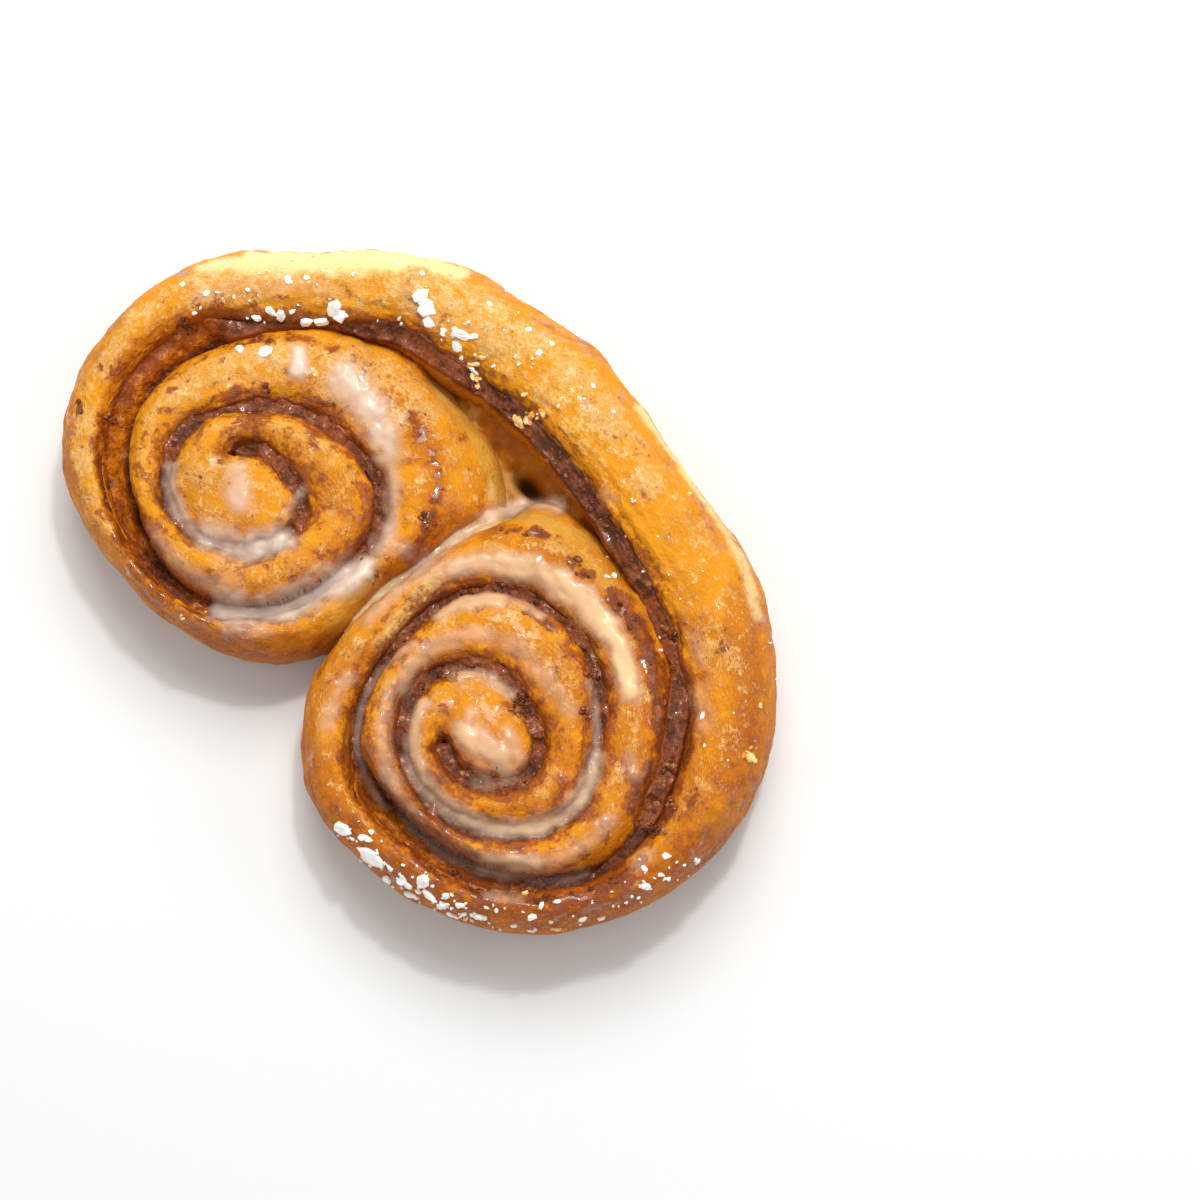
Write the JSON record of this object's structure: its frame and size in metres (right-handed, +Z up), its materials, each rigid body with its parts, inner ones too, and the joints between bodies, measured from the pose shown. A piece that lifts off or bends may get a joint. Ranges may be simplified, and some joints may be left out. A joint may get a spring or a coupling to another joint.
{
  "type": "nut pastry swirl",
  "caption": "Glazed sweet pastry: a strip of laminated dough with nut filling, rolled up from both ends into twin spirals under an arch.",
  "frame": {"origin": "centre of the box's footprint, on the surface that the pastry lies on", "axes": "+X from the smaller left roll to the larger right roll, +Y towards the arch that joins them, +Z up"},
  "size_m": [0.1562, 0.102, 0.0312],
  "materials": {
    "crust": "golden baked crust with a thin clear to milky sugar glaze",
    "filling": "moist dark ground nut and sugar filling"
  },
  "bodies": {
    "root": {"dough": "crust", "nut_filling": "filling"}
  },
  "joints": []
}
